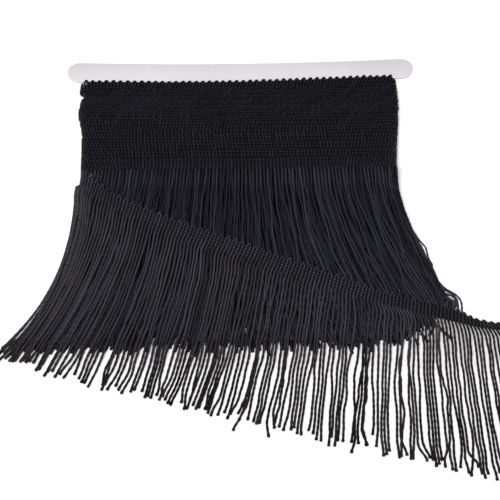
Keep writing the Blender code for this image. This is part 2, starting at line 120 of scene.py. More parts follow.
# The layers of strands in the heap. level is a layer's height, as a share of the heap's. The top layer is
# made finely, and has no count, because its strands go on from the winding's cords.
HEAP_LAYERS = table(
    "name count level tip_y tip_spread seed",
    ("front_strands_top", None, 1.0, -186.0, 3.0, 11),
    ("front_strands_second", 128, 0.94, -184.0, 3.6, 12),
    ("front_strands_third", 116, 0.87, -182.0, 3.6, 13),
    ("inner_strands_upper", 94, 0.76, -178.0, 3.6, 14),
    ("inner_strands_middle", 94, 0.64, -176.0, 3.6, 15),
    ("inner_strands_lower", 94, 0.52, -177.0, 3.6, 16),
    ("back_strands_upper", 94, 0.39, -182.0, 3.6, 17),
    ("back_strands_middle", 94, 0.26, -184.0, 3.6, 18),
    ("back_strands_lower", 94, 0.13, -185.0, 3.6, 19),
    ("back_strands_floor", 94, 0.0, -184.0, 3.6, 20),
)

# The loose end. Its heading's lower edge goes through these points. carried is the share of the heap's
# height that lies under a point, raised is what is added to it, and the normal says how the heading tilts.
LOOSE_PATH = table(
    "x y carried raised normal_x normal_y",
    (-118.6, -51.0, 0.0, 1.4, -0.97, 0.0),
    (-120.3, -52.8, 0.26, 1.2, -0.98, 0.0),
    (-120.5, -55.8, 0.55, 1.0, -0.94, 0.0),
    (-119.1, -60.0, 0.88, 1.2, -0.64, -0.06),
    (-115.4, -65.2, 1.0, 1.8, -0.22, -0.12),
    (-104.3, -74.8, 1.0, 1.0, 0.0, -0.13),
    (-85.0, -84.6, 1.0, 0.4, 0.0, -0.09),
    (-66.0, -93.2, 1.0, 0.4, 0.0, -0.1),
    (-35.8, -105.2, 1.0, 0.4, 0.0, -0.11),
    (0.5, -118.2, 1.0, 0.4, 0.0, -0.12),
    (38.0, -132.4, 1.0, 0.4, 0.0, -0.12),
    (70.0, -144.0, 1.0, 0.4, 0.0, -0.11),
    (95.0, -153.6, 1.0, 0.4, 0.0, -0.1),
    (116.5, -160.0, 1.0, 0.5, 0.0, -0.1),
    (136.0, -165.0, 1.0, 0.6, 0.0, -0.04),
    (148.0, -168.2, 0.92, 1.9, 0.0, 0.1),
    (160.0, -171.4, 0.62, 4.2, 0.0, 0.34),
    (174.0, -174.4, 0.3, 6.0, 0.0, 0.6),
    (203.0, -178.0, 0.0, 7.4, 0.0, 0.62),
    (218.0, -180.0, 0.0, 6.8, 0.0, 0.56),
)
PATH_SAMPLES = 12  # points on a smooth curve, for each one that it goes through

# Where the loose strands' tips lie, by the run along the heading at which the strands leave it. A strand's
# way to the side grows with its length to the power of curve.
LOOSE_TIPS = table(
    "run x y curve",
    (0.0, -169.5, -191.5, 2.7),
    (14.0, -166.0, -193.8, 2.3),
    (23.0, -162.0, -195.8, 1.9),
    (38.0, -154.5, -199.4, 1.6),
    (55.0, -143.0, -204.1, 1.45),
    (70.0, -124.5, -209.4, 1.35),
    (88.0, -101.0, -215.4, 1.25),
    (103.0, -81.0, -220.7, 1.2),
    (120.0, -62.0, -225.4, 1.3),
    (137.0, -44.5, -229.7, 1.35),
    (161.0, -22.0, -236.2, 1.3),
    (177.0, -4.5, -241.6, 1.2),
    (200.0, 21.0, -247.9, 1.1),
    (217.0, 41.0, -252.6, 1.05),
    (244.0, 72.0, -259.7, 1.0),
    (266.0, 98.0, -265.0, 0.95),
    (290.0, 127.5, -271.5, 0.9),
    (331.0, 174.5, -282.5, 0.92),
    (385.0, 238.0, -293.0, 1.0),
)

# The camera: it looks down on the trim from its strands' side.
CAMERA_TARGET = (8.0, -105.0, 0.0)
CAMERA_DISTANCE = 965.0
CAMERA_ELEVATION = 60.0
CAMERA_FIELD = 22.0


# ---- meshes


def unit(vectors):
    return vectors / np.maximum(np.linalg.norm(vectors, axis=-1, keepdims=True), 1e-9)


def lengths_along(paths):
    """The length of each path up to each of its points."""
    steps = np.linalg.norm(np.diff(paths, axis=-2), axis=-1)
    return np.insert(np.cumsum(steps, axis=-1), 0, 0.0, axis=-1)


class Pile:
    """Vertices, faces, texture coordinates and tints of many like bodies, gathered into one mesh."""

    def __init__(self):
        self.vertices = []
        self.faces = {}
        self.tints = []
        self.count = 0

    def add(self, vertices, tint):
        """Adds vertices, with one tint or one for each, and returns the number of the first one."""
        first = self.count
        self.vertices.append(vertices)
        self.tints.append(np.broadcast_to(tint, (len(vertices), 3)))
        self.count += len(vertices)
        return first

    def add_faces(self, faces, places=None):
        """Adds faces of one size, which may have a pair of texture coordinates for each corner."""
        if places is None:
            places = np.zeros((*faces.shape, 2))
        self.faces.setdefault(faces.shape[1], []).append((faces, places))

    def build(self, name, finish, node):
        """Makes the piece of that name, which replaces a node's solid."""
        corners = []
        starts = []
        places = []
        used = 0
        for size in sorted(self.faces):
            for faces, face_places in self.faces[size]:
                corners.append(faces.ravel())
                starts.append(used + size * np.arange(len(faces)))
                places.append(face_places.ravel())
                used += faces.size
        mesh = bpy.data.meshes.new(name)
        mesh.vertices.add(self.count)
        mesh.vertices.foreach_set("co", MM * np.concatenate(self.vertices).ravel())
        mesh.loops.add(used)
        mesh.loops.foreach_set("vertex_index", np.concatenate(corners))
        starts = np.concatenate(starts)
        mesh.polygons.add(len(starts))
        mesh.polygons.foreach_set("loop_start", starts)
        mesh.uv_layers.new(name="along").data.foreach_set("uv", np.concatenate(places))
        mesh.update(calc_edges=True)
        tint = mesh.attributes.new("tint", "FLOAT_COLOR", "POINT")
        colours = np.ones((self.count, 4))
        colours[:, :3] = np.concatenate(self.tints)
        tint.data.foreach_set("color", colours.ravel())
        mesh.validate()
        mesh.shade_smooth()
        mesh.materials.append(finish)
        made = bpy.data.objects.new(name, mesh)
        bpy.context.collection.objects.link(made)
        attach(made, "root")
        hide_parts(node)
        return made


PLY_SWELL = 0.1  # how much thicker a cord is where its two plies stand out
FINE_SIDES = 6  # a strand that shows has more sides and stations than the others
FINE_STATIONS = 112
PLAIN_SIDES = 4
PLAIN_STATIONS = 34
HIDDEN_TINT = (0.6, 0.6, 0.6)


def add_tubes(pile, paths, half_width, half_height, sides, tints, plies=None, move=None):
    """Adds a closed tube along each path to a pile.

    paths is (tubes, stations, 3). half_width lies level, half_height across it, and both may differ by tube
    and station. Where plies is given, in radians by station, the section swells where two plies come round.
    move maps points to where they come to lie.
    """
    tubes, stations = paths.shape[:2]
    shape = (tubes, stations)
    along = unit(np.gradient(paths, axis=1))
    across = unit(np.cross(along, (0.0, 0.0, 1.0)))
    normal = np.cross(across, along)
    section = 2.0 * np.pi * np.arange(sides) / sides
    swell = np.ones((*shape, sides))
    if plies is not None:
        swell = swell + PLY_SWELL * np.cos(2.0 * (section - plies[..., None]))
    width = np.broadcast_to(half_width, shape)[..., None] * swell * np.cos(section)
    height = np.broadcast_to(half_height, shape)[..., None] * swell * np.sin(section)
    points = paths[:, :, None] + across[:, :, None] * width[..., None]
    points = (points + normal[:, :, None] * height[..., None]).reshape(-1, 3)
    if move is not None:
        points = move(points[:, 0], points[:, 1], points[:, 2])
    tint = np.repeat(np.broadcast_to(tints, (*shape, 3)).reshape(-1, 3), sides, axis=0)
    start = pile.add(points, tint)

    lengths = lengths_along(paths)
    tube, station, side = np.indices((tubes, stations - 1, sides))
    beyond = (side + 1) % sides
    ring = start + (tube * stations + station) * sides
    quads = np.stack([ring + side, ring + sides + side, ring + sides + beyond, ring + beyond], axis=-1)
    near = lengths[tube, station]
    far = lengths[tube, station + 1]
    left = side / sides
    right = left + 1.0 / sides
    corners = ((left, near), (left, far), (right, far), (right, near))
    places = np.stack([np.stack(corner, axis=-1) for corner in corners], axis=-2)
    pile.add_faces(quads.reshape(-1, 4), places.reshape(-1, 4, 2))
    caps = start + np.arange(tubes)[:, None] * stations * sides + np.arange(sides)
    pile.add_faces(caps)
    pile.add_faces((caps + (stations - 1) * sides)[:, ::-1])


def add_rings(pile, rings, tint, joined=False):
    """Adds a skin over rings of points. Its ends are closed with flat faces, or joined to each other."""
    size = len(rings[0])
    start = pile.add(np.concatenate(rings), tint)
    side = start + np.arange(size)
    beyond = start + (np.arange(size) + 1) % size
    steps = len(rings) if joined else len(rings) - 1
    for ring in range(steps):
        low = ring * size
        high = (ring + 1) % len(rings) * size
        pile.add_faces(np.stack([low + side, low + beyond, high + beyond, high + side], axis=-1))
    if not joined:
        pile.add_faces(side[None, ::-1])
        pile.add_faces((side + steps * size)[None])


def soft_step(value):
    """Rises smoothly from 0 to 1 as value does."""
    value = np.clip(value, 0.0, 1.0)
    return value * value * (3.0 - 2.0 * value)


def rows_of(table, key, name, at):
    """The value of a table's column where its key column is at, by straight lines between the rows."""
    rows = sorted((getattr(row, key), getattr(row, name)) for row in table)
    keys, values = zip(*rows)
    return np.interp(at, keys, values)


CORNER_LENGTH = 9.0


def soft_rows(table, key, name, at):
    """rows_of() with its corners rounded off."""
    return sum(rows_of(table, key, name, at + shift * CORNER_LENGTH) for shift in (-1, 0, 1)) / 3.0


# ---- materials


class Nodes:
    """Small helpers for making one material's nodes. Inputs are values, or other nodes' outputs."""

    def __init__(self, name):
        self.material = bpy.data.materials.new(name)
        self.material.use_nodes = True
        self.tree = self.material.node_tree

    def fill(self, node, inputs):
        for key, value in inputs.items():
            if isinstance(value, bpy.types.NodeSocket):
                self.tree.links.new(value, node.inputs[key])
            else:
                node.inputs[key].default_value = value

    def node(self, kind, inputs, **settings):
        made = self.tree.nodes.new(kind)
        for key, value in settings.items():
            setattr(made, key, value)
        self.fill(made, inputs)
        return made

    def surface(self, **inputs):
        """Sets the shader's inputs, such as Base_Color, and returns the material."""
        shader = self.tree.nodes["Principled BSDF"]
        self.fill(shader, {key.replace("_", " "): value for key, value in inputs.items()})
        return self.material

    def where(self):
        return self.node("ShaderNodeTexCoord", {}).outputs["Object"]

    def math(self, operation, *values):
        return self.node("ShaderNodeMath", dict(enumerate(values)), operation=operation).outputs[0]

    def noise(self, vector, scale, detail):
        inputs = {"Scale": scale, "Detail": detail, "Vector": vector}
        return self.node("ShaderNodeTexNoise", inputs).outputs["Fac"]

    def ramp(self, value, low, high, low_colour, high_colour):
        made = self.node("ShaderNodeValToRGB", {0: value})
        first, last = made.color_ramp.elements
        first.position = low
        last.position = high
        first.color = (*low_colour, 1.0)
        last.color = (*high_colour, 1.0)
        return made.outputs["Color"]

    def multiply(self, first, second):
        inputs = {"Factor": 1.0, 6: first, 7: second}
        return self.node("ShaderNodeMix", inputs, data_type="RGBA", blend_type="MULTIPLY").outputs[2]

    def bump(self, height, strength, distance):
        inputs = {"Strength": strength, "Distance": distance, "Height": height}
        return self.node("ShaderNodeBump", inputs).outputs["Normal"]


def yarn_material(name, groove, crest, gloss):
    """Twisted two-ply cord, with painted shade in the grooves between its plies. Its texture coordinates
    run round the cord, and along it in millimetres.
    """
    nodes = Nodes(name)
    place = nodes.node("ShaderNodeUVMap", {}, uv_map="along").outputs["UV"]
    split = nodes.node("ShaderNodeSeparateXYZ", {0: place}).outputs
    turn = nodes.math("ADD", split["X"], nodes.math("DIVIDE", split["Y"], TWIST_PITCH))
    plies = nodes.math("COSINE", nodes.math("MULTIPLY", turn, 4.0 * math.pi))
    ply = nodes.math("ADD", nodes.math("MULTIPLY", plies, 0.5), 0.5)
    across = nodes.math("MULTIPLY", turn, 18.0)
    along = nodes.math("MULTIPLY", split["Y"], 0.5)
    fibre_place = nodes.node("ShaderNodeCombineXYZ", {0: across, 1: along})
    fibre = nodes.noise(fibre_place.outputs[0], 1.0, 3.0)
    patches = nodes.noise(nodes.where(), 60.0, 2.0)
    # Painted shade: the plies' relief sets the colour from groove to crest, so the grooves are painted
    # darker; the fibre noise adds a random tone.
    light = nodes.math("ADD", nodes.math("MULTIPLY", ply, 0.6), nodes.math("MULTIPLY", fibre, 0.4))
    # The tint attribute holds random tone, and also the painted light and shade that the meshes carry.
    tint = nodes.node("ShaderNodeAttribute", {}, attribute_name="tint").outputs["Color"]
    colour = nodes.multiply(nodes.ramp(light, 0.12, 0.85, groove, crest), tint)
    patchy = nodes.ramp(patches, 0.3, 0.7, (0.8, 0.8, 0.83), (1.0, 0.99, 0.98))
    return nodes.surface(
        Base_Color=nodes.multiply(colour, patchy),
        Normal=nodes.bump(light, 0.5, 0.0002),
        Roughness=0.55,
        Specular_IOR_Level=nodes.math("MULTIPLY", tint, gloss),
        Specular_Tint=(0.9, 0.92, 1.0, 1.0),
    )


def card_material():
    """Pale, faintly lilac card with a fine grain."""
    nodes = Nodes("pale_card")
    where = nodes.where()
    cloud = nodes.noise(where, 14.0, 3.0)
    grain = nodes.noise(where, 900.0, 2.0)
    colour = nodes.ramp(cloud, 0.35, 0.68, (0.65, 0.622, 0.655), (0.70, 0.68, 0.705))
    speck = nodes.ramp(grain, 0.3, 0.75, (0.965, 0.96, 0.965), (1.0, 1.0, 1.0))
    return nodes.surface(
        Base_Color=nodes.multiply(colour, speck), Normal=nodes.bump(grain, 0.15, 0.0001), Roughness=0.5
    )


def shadow_material():
    """The dark between the cords."""
    dark = (0.0065, 0.0065, 0.0085, 1.0)
    return Nodes("yarn_shadow").surface(Base_Color=dark, Roughness=0.9, Specular_IOR_Level=0.04)


# ---- the winding's shape


def askew(x, y):
    """The card and the winding lie a little askew, and their upper edges are bowed."""
    height = np.maximum(0.0, (y - PACK_BOTTOM_Y) / (PACK_TOP_Y - PACK_BOTTOM_Y))
    bow = BOW_AT_TOP_ROW * height * (x / PACK_SECTIONS[-1].half_width) ** 2
    return y + SKEW * x + bow


def pack_place(x, y, turned=1.0):
    """Where y comes to lie on the winding. turned is 0 on its front, and 1 at its sides and back."""
    along = np.maximum(0.0, np.abs(x) - CORNER_START_X) / (CARD_WAIST_HALF - CORNER_START_X)
    height = np.maximum(0.0, y - CORNER_ROWS_Y) / (PACK_TOP_Y - CORNER_ROWS_Y)
    drop = CORNER_DROP * turned * np.minimum(1.0, along)
    rise = RIGHT_RISE * (1.0 - turned) * np.clip(x / CORNER_START_X, 0.0, 1.0)
    return askew(x, y + (rise - drop) * height)


def card_plane(y):
    """The height of the card's middle: the card slopes, because its lower part lies on the wound fringe."""
    return CARD_MIDDLE_Z - CARD_SLOPE * y


STEP_BEFORE = 0.5  # the surface steps down from this far below a row's edge
STEP_AFTER = 0.3  # to this far above it


def shingle_step(y):
    """How much higher or lower than the winding's mean surface it is at y."""
    keys = [PACK_BOTTOM_Y]
    values = [0.0]
    for edge in ROW_EDGES_Y[:0:-1]:
        keys += [edge - STEP_BEFORE, edge + STEP_AFTER]
        values += [ROW_STEP / 2.0, -ROW_STEP / 2.0]
    keys.append(ROW_EDGES_Y[0])
    values.append(0.0)
    return np.interp(y, keys, values)


def wrap(run, y, step, lift):
    """Where a point of the winding lies. run is measured round it from the middle of its front.

    step is added to the winding's height, and lift is the point's own height over its surface.
    """
    top = rows_of(PACK_SECTIONS, "y", "top", y) + step
    half_width = rows_of(PACK_SECTIONS, "y", "half_width", y)
    radius = top / 2.0
    flat = half_width - radius
    beyond = np.abs(run) - flat
    turn = np.clip(beyond / radius, 0.0, math.pi)
    x = np.where(beyond < 0.0, np.abs(run), flat + radius * np.sin(turn))
    x = np.where(beyond > math.pi * radius, flat - (beyond - math.pi * radius), x)
    x = x + lift * np.sin(turn)
    z = radius + (radius + lift) * np.cos(turn)
    x = np.copysign(x, run)
    turned = soft_step(turn / (math.pi / 2.0))
    return np.stack([x, pack_place(x, y, turned), z], axis=-1)


# ---- card


def card_outline():
    """A waist for the winding, and above it a bar whose two ends are round lobes."""
    lobe_x = CARD_HALF_WIDTH - CARD_LOBE_RADIUS
    lobe_y = CARD_TOP_Y - CARD_LOBE_RADIUS
    points = [(CARD_WAIST_HALF, CARD_END_Y), (CARD_WAIST_HALF, lobe_y - CARD_LOBE_RADIUS)]
    for step in range(CARD_ARC_STEPS + 1):
        turn = math.radians(-90.0 + 180.0 * step / CARD_ARC_STEPS)
        x = lobe_x + CARD_LOBE_RADIUS * math.cos(turn)
        points.append((x, lobe_y + CARD_LOBE_RADIUS * math.sin(turn)))
    for share in np.linspace(1.0, 0.0, CARD_BAR_STEPS + 1)[1:]:
        points.append((lobe_x * share, CARD_TOP_Y))
    left = [(-x, y) for x, y in points[-2::-1]]
    return np.array(points + left)


def build_card(finish):
    """The card, with softly rounded edges."""
    outline = card_outline()
    before = np.roll(outline, 1, axis=0)
    after = np.roll(outline, -1, axis=0)
    inward = unit(after - before) @ np.array([[0.0, 1.0], [-1.0, 0.0]])
    rings = []
    for turn in np.radians(range(-90, 91, 30)):
        inset = CARD_EDGE * (1.0 - math.cos(turn))
        level = np.sign(turn) * (CARD_THICKNESS / 2.0 - CARD_EDGE) + CARD_EDGE * math.sin(turn)
        x, y = (outline + inward * inset).T
        rings.append(np.stack([x, askew(x, y), card_plane(y) + level], axis=-1))
    pile = Pile()
    add_rings(pile, rings, (1.0, 1.0, 1.0))
    pile.build("card_board", finish, "card")


# ---- heading cords

COURSE_PITCH = 2.4  # distance between the chain stitches that bind the heading's cords
FIRST_COURSE = 2.9  # the first one's distance from the scalloped edge,
LAST_COURSE_INSET = 0.3  # and the least distance of the last one from the lower edge
RIB_HALF_WIDTH = 1.0
RIB_HALF_HEIGHT = 0.72
RIB_LIFT = 0.4  # height of the cords' middles over the heading's base
PINCH = 0.8  # the cords' width where a chain stitch binds them, as a share of their full width,
LOOP_WIDTH = 0.82  # and their width in the loops at the scalloped edge
LOOP_INSET = 0.8  # how far a loop's bend is inside the scalloped edge, in half widths of cord
LOOP_TINT_DEPTH = 2.3  # a cord has its loop's tint down to this distance from the edge
SCALLOP_HALF = 0.74  # half the distance between a loop's two cords, where they turn
SCALLOP_LENGTH = 2.7  # the length in which the two cords close up to that
LOOP_STATIONS = 3
STITCH_HALF_WIDTH = 0.52
STITCH_HALF_HEIGHT = 0.3
STITCH_LOW = 0.5  # a chain stitch's height between two cords
STITCH_HIGH = 0.98  # and over one
LEAST_STITCH_SIZE = 0.6  # its size between two cords, as a share of that over one
EDGE_UNEVENNESS = (0.12, 0.16, 0.06)  # how unevenly the loops lie: along the edge, across it, in height
EDGE_UNEVEN_DEPTH = 6.0  # how far from the scalloped edge they do
CORD_TINT_SPREAD = 0.16
STITCH_TINT_SPREAD = 0.14

# How light a cord is, its loop at the scalloped edge, a stitch between two cords, and a stitch over one.
# The stitches carry painted light: a painted highlight where a stitch rises over a cord, and painted shade
# where it dips between two. The wound turns' loops are painted a little darker than their cords, painted
# shade that dims the light they catch; the loose heading's loops are painted lighter.
WOUND_TINTS, LOOSE_TINTS = table("cord loop between over", (0.66, 0.6, 0.5, 1.4), (1.0, 1.2, 0.16, 3.5))
LOOSE_STITCH_LIGHTS = ((0.0, 0.5), (30.0, 1.0), (262.0, 1.0), (305.0, 0.4))


def uneven_shades(rng, shape, spread):
    """Random shares of full light, about one."""
    return np.clip(1.0 + spread * rng.normal(size=shape), 0.5, 1.5)


def rib_half(distance):
    """Size of a heading cord at a distance from the scalloped edge, as a share of its full size."""
    phase = (distance - FIRST_COURSE) / COURSE_PITCH
    swell = 0.5 - 0.5 * np.cos(2.0 * np.pi * phase)
    return np.where(distance < FIRST_COURSE, LOOP_WIDTH, PINCH + (1.0 - PINCH) * swell)


def loop_pattern(depth, per_course):
    """The line of one loop of cord on the flat heading: up, round at the scalloped edge and down."""
    half = STRAND_PITCH / 2.0
    top = SCALLOP_HALF + LOOP_INSET * RIB_HALF_WIDTH - SCALLOP_REACH
    count = max(3, int(round((depth - top) / COURSE_PITCH * per_course)) + 1)
    run = np.linspace(depth, top, count)
    closed = soft_step((SCALLOP_LENGTH - run) / (SCALLOP_LENGTH - top))
    leg = half + (SCALLOP_HALF - half) * closed
    up = np.stack([-leg, run], axis=-1)
    turns = np.radians(np.linspace(180.0, 0.0, LOOP_STATIONS + 2)[1:-1])
    bend = np.stack([SCALLOP_HALF * np.cos(turns), top - SCALLOP_HALF * np.sin(turns)], axis=-1)
    return np.concatenate([up, bend, up[::-1] * (-1.0, 1.0)])


def add_heading_cords(pile, starts, depth, tints, rng, move, per_course, sides):
    """Loops of cord, side by side along the heading, in its flat frame: run, distance from edge, lift."""
    pattern = loop_pattern(depth, per_course)
    tubes = len(starts)
    path = np.zeros((tubes, len(pattern), 3))
    jitter = rng.normal(size=(tubes, 3)) * EDGE_UNEVENNESS
    near_edge = np.clip(1.0 - pattern[:, 1] / EDGE_UNEVEN_DEPTH, 0.0, 1.0)
    path[:, :, 0] = starts[:, None] + pattern[:, 0] + jitter[:, :1] * near_edge
    path[:, :, 1] = pattern[:, 1] + jitter[:, 1:2] * near_edge
    path[:, :, 2] = RIB_LIFT + jitter[:, 2:]
    size = rib_half(pattern[:, 1])[None]
    # The loops have their own tint: on the wound turns they are painted a little darker than the cords,
    # painted shade; on the loose heading they are painted lighter.
    shade = np.where(pattern[:, 1] < LOOP_TINT_DEPTH, tints.loop, tints.cord)
    shades = shade * uneven_shades(rng, (tubes, 1), CORD_TINT_SPREAD)
    tint = shades[..., None] * np.ones(3)
    add_tubes(pile, path, RIB_HALF_WIDTH * size, RIB_HALF_HEIGHT * size, sides, tint, move=move)


def add_chain_stitches(pile, runs, shift, depth, tints, rng, move, per_cord, lights=((0.0, 1.0),)):
    """Lines of chain stitches between two runs: threads that rise over each cord and dip between them.

    shift moves the lines along the heading, with the cords that they bind. A stitch is painted lighter
    where it rises over a cord and darker where it dips between two: painted highlight and painted shade.
    lights say how light the stitches are, by the run along the heading.
    """
    first_run, last_run = runs
    count = int((last_run - first_run) / STRAND_PITCH * per_cord) + 1
    run = np.linspace(first_run, last_run, count)
    over = 0.5 + 0.5 * np.cos(2.0 * np.pi * (run - STRAND_PITCH / 2.0) / STRAND_PITCH)
    lift = STITCH_LOW + (STITCH_HIGH - STITCH_LOW) * over
    size = LEAST_STITCH_SIZE + (1.0 - LEAST_STITCH_SIZE) * over
    # Painted highlight where a stitch rises over a cord, painted shade where it dips between two.
    light = (tints.between + (tints.over - tints.between) * over**1.5) * np.interp(run, *zip(*lights))
    for distance in np.arange(FIRST_COURSE, depth - LAST_COURSE_INSET, COURSE_PITCH):
        path = np.stack([run + shift, np.full(count, distance), lift], axis=-1)[None]
        shade = light * uneven_shades(rng, count, STITCH_TINT_SPREAD)
        tint = (shade[:, None] * np.ones(3))[None]
        half_width, half_height = STITCH_HALF_WIDTH * size, STITCH_HALF_HEIGHT * size
        add_tubes(pile, path, half_width, half_height, PLAIN_SIDES, tint, move=move)


# ---- the wound heading

CORE_INSET = 1.35  # the winding's core lies this far under its surface,
CORE_BOTTOM_INSET = 0.6  # and its two ends this far inside the winding's
CORE_TOP_INSET = 1.2
CORE_STATIONS = 240
SLOT_GAP = 0.3  # between the core and the card


def build_core(finish):
    """The body of the winding under the cords that show, closed round the card."""
    ys = [PACK_BOTTOM_Y + CORE_BOTTOM_INSET]
    for edge in ROW_EDGES_Y[:0:-1]:
        ys += [edge - STEP_BEFORE, edge + STEP_AFTER]
    ys.append(PACK_TOP_Y - CORE_TOP_INSET)
    share = np.linspace(-1.0, 1.0, CORE_STATIONS + 1)[:-1]
    rings = [wrap_whole(share, np.full(CORE_STATIONS, y), shingle_step(y), -CORE_INSET) for y in ys]
    rings += [slot_ring(share, ys[-1]), slot_ring(share, ys[0])]
    pile = Pile()
    add_rings(pile, rings, HIDDEN_TINT, joined=True)
    pile.build("winding_core", finish, "wound_heading")


def half_loop_length(y):
    """The length of the winding's surface from the middle of its front to the middle of its back."""
    top = rows_of(PACK_SECTIONS, "y", "top", y)
    half_width = rows_of(PACK_SECTIONS, "y", "half_width", y)
    return 2.0 * half_width + (math.pi - 2.0) * top / 2.0


def wrap_whole(share, y, step, lift):
    """wrap() by shares of half the way round, from -1 to 1."""
    return wrap(share * half_loop_length(y), y, step, lift)


def slot_ring(share, y):
    """The core's inner ring, close round the card's waist."""
    corner = CARD_WAIST_HALF / (2.0 * CARD_WAIST_HALF + CARD_THICKNESS)
    half_width = CARD_WAIST_HALF + SLOT_GAP
    half_height = CARD_THICKNESS / 2.0 + SLOT_GAP
    place = np.abs(share)
    x = np.interp(place, (0.0, corner, 1.0 - corner, 1.0), (0.0, half_width, half_width, 0.0))
    z = np.interp(place, (corner, 1.0 - corner), (half_height, -half_height))
    x = np.copysign(x, share)
    return np.stack([x, pack_place(x, np.full(len(x), y)), card_plane(y) + z], axis=-1)


TURN_COUNT = len(ROW_EDGES_Y)
TURN_HIDDEN = 1.4  # how far a turn's cords run on under the next turn,
HIDDEN_SLOPE = 0.9  # and how much deeper they lie there for each millimetre
# How far each turn's cords lean along the heading for each millimetre down.
TURN_LEANS = (-0.25, -0.8, -1.3, -1.15, -0.6, -0.2, 0.0, -0.05, 0.0, 0.0, 0.0)
END_LEAN = 0.4  # added at the winding's left end, and taken off at its right end
END_LEAN_START = 70.0
END_LEAN_RAMP = 45.0
# How far each turn stands out at the winding's left end.
TURN_BULGES = (2.6, -1.0, 0.8, 1.8, 0.8, 0.0, -0.4, 0.3, 0.6, 0.9, 1.1)
BULGE_START = 60.0
TURN_WAVE = 0.35  # the rows aren't quite straight,
TURN_WAVE_LENGTH = 31.0
TURN_WAVE_STEP = 1.7  # and each of them waves differently,
TURN_DRIFT = 0.45  # nor are they quite level from one end to the other
TURN_DRIFT_LENGTH = 240.0
TURN_DRIFT_STEP = 2.3
TURN_SHIFT = 0.31 * STRAND_PITCH  # how far a turn's cords lie beside those of the turn before
CORDS_FRONT = 14.0  # the finely made cords go on this far round the winding's sides


def turn_depth(number):
    """How much of a turn of the heading shows, plus what runs on under the next one."""
    if number + 1 == TURN_COUNT:
        return HEADING_WIDTH
    return ROW_EDGES_Y[number] - ROW_EDGES_Y[number + 1] + TURN_HIDDEN


def turn_map(number):
    """Maps a turn's flat frame to its place on the winding."""
    edge = ROW_EDGES_Y[number]
    whole = half_loop_length(edge)
    drift = TURN_DRIFT * math.sin(number * TURN_DRIFT_STEP)
    last = number + 1 == TURN_COUNT

    def move(run, distance, lift):
        at_end = np.clip((np.abs(run) - END_LEAN_START) / END_LEAN_RAMP, 0.0, 1.0)
        lean = TURN_LEANS[number] - END_LEAN * np.copysign(at_end, run)
        wave = TURN_WAVE * np.sin(run / TURN_WAVE_LENGTH + number * TURN_WAVE_STEP)
        y = edge - distance + wave + drift * run / TURN_DRIFT_LENGTH
        surface = np.clip(y, PACK_BOTTOM_Y, edge - STEP_BEFORE)
        hidden = 0.0 if last else np.maximum(0.0, distance - turn_depth(number) + TURN_HIDDEN)
        place = (run + lean * distance) / whole
        points = wrap_whole(place, y, shingle_step(surface), lift - CORE_INSET - HIDDEN_SLOPE * hidden)
        end = PACK_SECTIONS[0].half_width
        points[:, 0] -= TURN_BULGES[number] * soft_step((-points[:, 0] - BULGE_START) / (end - BULGE_START))
        return points

    return move


def turn_shift(number):
    return TURN_SHIFT * (number % 3)


def loop_starts(number):
    """Where a turn's loops of cord lie, in millimetres from the middle of the winding's front."""
    whole = half_loop_length(ROW_EDGES_Y[number])
    pairs = int(whole / (2.0 * STRAND_PITCH))
    starts = (2.0 * np.arange(-pairs, pairs) + 1.0) * STRAND_PITCH + turn_shift(number)
    return starts[np.abs(starts) < whole - STRAND_PITCH]


def build_turns(finish):
    """The heading's cords and chain stitches on each turn of the winding that shows."""
    for number in range(TURN_COUNT):
        rng = np.random.default_rng(100 + number)
        move = turn_map(number)
        depth = turn_depth(number)
        starts = loop_starts(number)
        front = np.abs(starts) < PACK_SECTIONS[1].half_width + CORDS_FRONT
        pile = Pile()
        add_heading_cords(pile, starts[front], depth, WOUND_TINTS, rng, move, per_course=2.5, sides=6)
        add_heading_cords(pile, starts[~front], depth, WOUND_TINTS, rng, move, per_course=1.0, sides=4)
        shift = turn_shift(number)
        runs = (starts[front][0] - STRAND_PITCH - shift, starts[front][-1] + STRAND_PITCH - shift)
        add_chain_stitches(pile, runs, shift, depth, WOUND_TINTS, rng, move, per_cord=4)
        pile.build(f"heading_turn_{number + 1:02d}", finish, "wound_heading")


# ---- strands in the heap


def lane_x(lane, y):
    """Where a lane comes to lie at y. The lanes fan out as the heap gets wider."""
    first = FRINGE_LINES[0]
    left = -soft_rows(FRINGE_LINES, "y", "left", y)
    right = soft_rows(FRINGE_LINES, "y", "right", y)
    edge = np.where(lane < 0.0, -first.left, first.right)
    spread = np.where(lane < 0.0, left, right) - edge
    fan = np.sin(np.pi / 2.0 * np.minimum(1.0, np.abs(lane) / FAN_FULL))
    return np.copysign(np.abs(lane) * edge + fan * spread, lane)


def lane_height(lane):
    """The heap's height in a lane, as a share of that in its middle."""
    beyond = np.maximum(0.0, np.abs(lane) - EDGE_START) / (1.0 - EDGE_START)
    return 1.0 - (1.0 - EDGE_HEIGHT) * np.minimum(beyond, 1.0)


def heap_top(lane, y):
    """The middle height of the top layer's strands."""
    least = soft_rows(FRINGE_LINES, "y", "back_top", y) + LAYER_GAP + LEAST_LOCK_HEIGHT
    inner = np.maximum(least, soft_rows(FRINGE_LINES, "y", "inner_top", y)) * lane_height(lane)
    return inner + LAYER_GAP + STRAND_HEIGHT / 2.0


def short_side(lane):
    """How much higher up a lane's strands end than those in the heap's middle."""
    rise = SHORT_SIDE_RISE * np.maximum(0.0, (lane - SHORT_SIDE_START) / (1.0 - SHORT_SIDE_START))
    return rise + LAST_RISE * np.maximum(0.0, (lane - LAST_RISE_START) / (1.0 - LAST_RISE_START))


